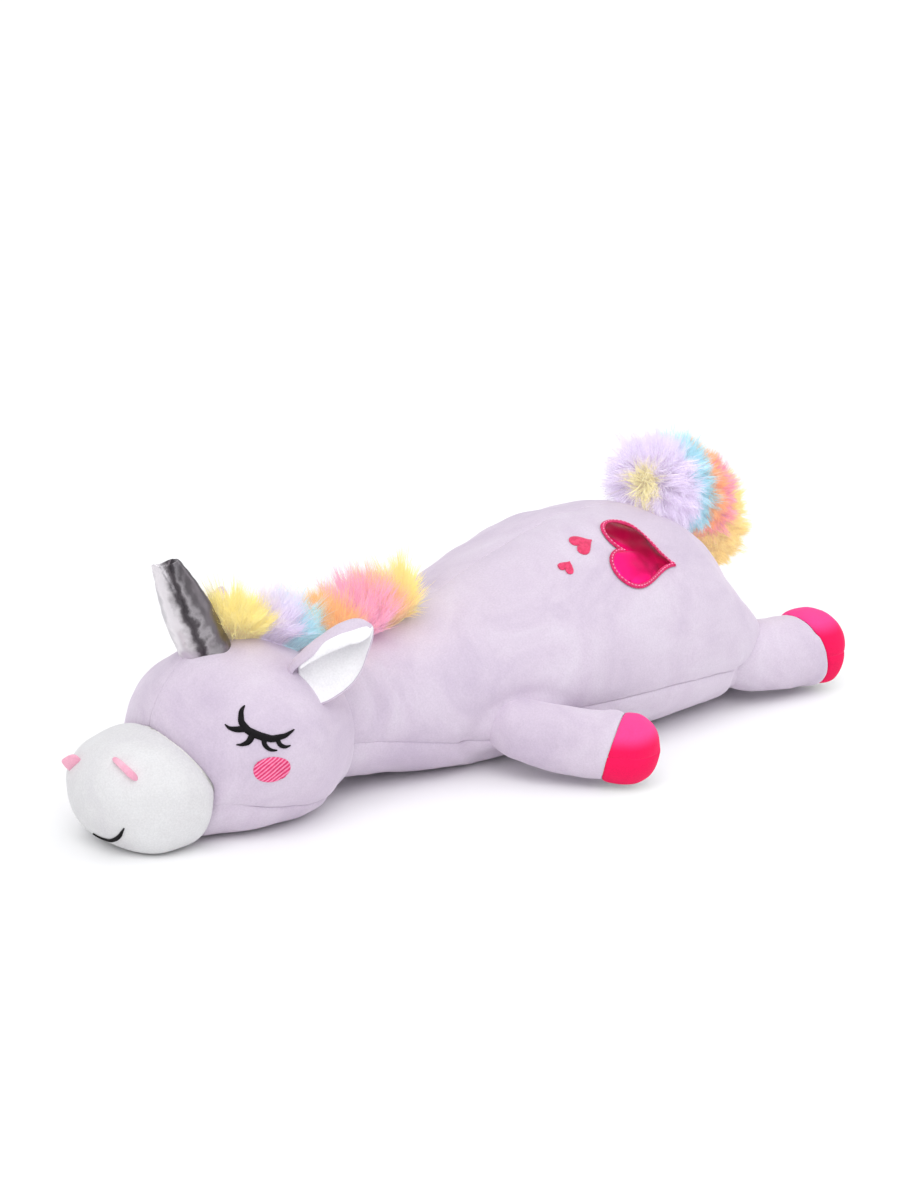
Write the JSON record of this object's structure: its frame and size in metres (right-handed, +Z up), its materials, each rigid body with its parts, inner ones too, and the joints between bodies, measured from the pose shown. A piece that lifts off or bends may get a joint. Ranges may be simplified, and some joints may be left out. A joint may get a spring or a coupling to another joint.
{
  "type": "plush_unicorn",
  "caption": "Sleeping plush unicorn lying on its belly, lavender velour with white muzzle, silver horn, rainbow fur mane and tail, pink hooves and a foil heart on its flank",
  "frame": {"origin": "centre of the bounding box at floor level, under the belly", "axes": "+X from the head towards the tail along the spine, +Y to the toy's right side, +Z up from the floor"},
  "size_m": [0.5892, 0.299, 0.1737],
  "materials": {
    "lavender_velour": "short brushed pile",
    "white_velour": "short brushed pile",
    "hot_pink_velour": "short brushed pile",
    "deep_pink_velour": "short brushed pile",
    "rose_velour": "short brushed pile",
    "silver_lame": "metallic coated cloth",
    "rainbow_fur": "long tip-dyed pile in colour bands",
    "heart_foil": "metallic foil cloth",
    "pink_embroidery": "satin stitch",
    "black_embroidery": "satin stitch",
    "polyester_fibre": "loose hollow fibre"
  },
  "bodies": {
    "torso": {"body_left_panel": "lavender_velour", "body_right_panel": "lavender_velour", "belly_panel": "lavender_velour", "belly_closing_seam": "lavender_velour", "body_filling": "polyester_fibre", "mane_rear": "rainbow_fur", "heart_foil": "heart_foil", "heart_edge_stitching": "pink_embroidery", "small_heart_front": "pink_embroidery", "small_heart_rear": "pink_embroidery"},
    "head": {"head_left_panel": "lavender_velour", "head_right_panel": "lavender_velour", "chin_panel": "lavender_velour", "muzzle_cover": "white_velour", "head_filling": "polyester_fibre", "nostril_left": "rose_velour", "nostril_right": "rose_velour", "mouth_stitching": "black_embroidery", "eye_left": "black_embroidery", "eye_right": "black_embroidery", "cheek_left": "pink_embroidery", "cheek_right": "pink_embroidery", "horn_cover": "silver_lame", "horn_filling": "polyester_fibre", "mane_front": "rainbow_fur"},
    "ear_left": {"ear_left_outer": "lavender_velour", "ear_left_lining": "white_velour"},
    "ear_right": {"ear_right_outer": "lavender_velour", "ear_right_lining": "white_velour"},
    "leg_front_left": {"leg_front_left_cover": "lavender_velour", "leg_front_left_hoof_upper": "hot_pink_velour", "leg_front_left_hoof_lower": "deep_pink_velour", "leg_front_left_filling": "polyester_fibre"},
    "leg_front_right": {"leg_front_right_cover": "lavender_velour", "leg_front_right_hoof_upper": "hot_pink_velour", "leg_front_right_hoof_lower": "deep_pink_velour", "leg_front_right_filling": "polyester_fibre"},
    "leg_hind_left": {"leg_hind_left_cover": "lavender_velour", "leg_hind_left_hoof_upper": "hot_pink_velour", "leg_hind_left_hoof_lower": "deep_pink_velour", "leg_hind_left_filling": "polyester_fibre"},
    "leg_hind_right": {"leg_hind_right_cover": "lavender_velour", "leg_hind_right_hoof_upper": "hot_pink_velour", "leg_hind_right_hoof_lower": "deep_pink_velour", "leg_hind_right_filling": "polyester_fibre"},
    "tail": {"tail_cover": "rainbow_fur", "tail_filling": "polyester_fibre"}
  },
  "joints": [
    {"name": "neck_nod", "type": "hinge", "parent": "torso", "child": "head", "pos_m": [-0.1191, 0, 0.048], "axis": [0, 1, 0], "range_deg": [0, 16], "stiffness_Nm_per_rad": 0.6},
    {"name": "leg_front_left_lift", "type": "hinge", "parent": "torso", "child": "leg_front_left", "pos_m": [-0.0041, -0.0945, 0.026], "axis": [-0.7033, -0.7109, 0], "range_deg": [0, 26], "stiffness_Nm_per_rad": 0.12},
    {"name": "leg_hind_left_lift", "type": "hinge", "parent": "torso", "child": "leg_hind_left", "pos_m": [0.2479, -0.057, 0.026], "axis": [-0.2124, -0.9772, 0], "range_deg": [0, 26], "stiffness_Nm_per_rad": 0.12},
    {"name": "leg_front_right_lift", "type": "hinge", "parent": "torso", "child": "leg_front_right", "pos_m": [-0.0041, 0.0945, 0.026], "axis": [0.7033, -0.7109, 0], "range_deg": [0, 26], "stiffness_Nm_per_rad": 0.12},
    {"name": "leg_hind_right_lift", "type": "hinge", "parent": "torso", "child": "leg_hind_right", "pos_m": [0.2479, 0.057, 0.026], "axis": [0.2124, -0.9772, 0], "range_deg": [0, 26], "stiffness_Nm_per_rad": 0.12},
    {"name": "ear_left_flop", "type": "hinge", "parent": "head", "child": "ear_left", "pos_m": [-0.1591, -0.0463, 0.0873], "axis": [0.2486, 0.9075, 0.3385], "range_deg": [-10, 15], "stiffness_Nm_per_rad": 0.03},
    {"name": "ear_right_flop", "type": "hinge", "parent": "head", "child": "ear_right", "pos_m": [-0.1591, 0.0463, 0.0873], "axis": [-0.2486, 0.9075, -0.3385], "range_deg": [-10, 15], "stiffness_Nm_per_rad": 0.03},
    {"name": "tail_swing", "type": "hinge", "parent": "torso", "child": "tail", "pos_m": [0.2234, 0, 0.089], "axis": [0, 1, 0], "range_deg": [0, 24], "stiffness_Nm_per_rad": 0.15}
  ]
}
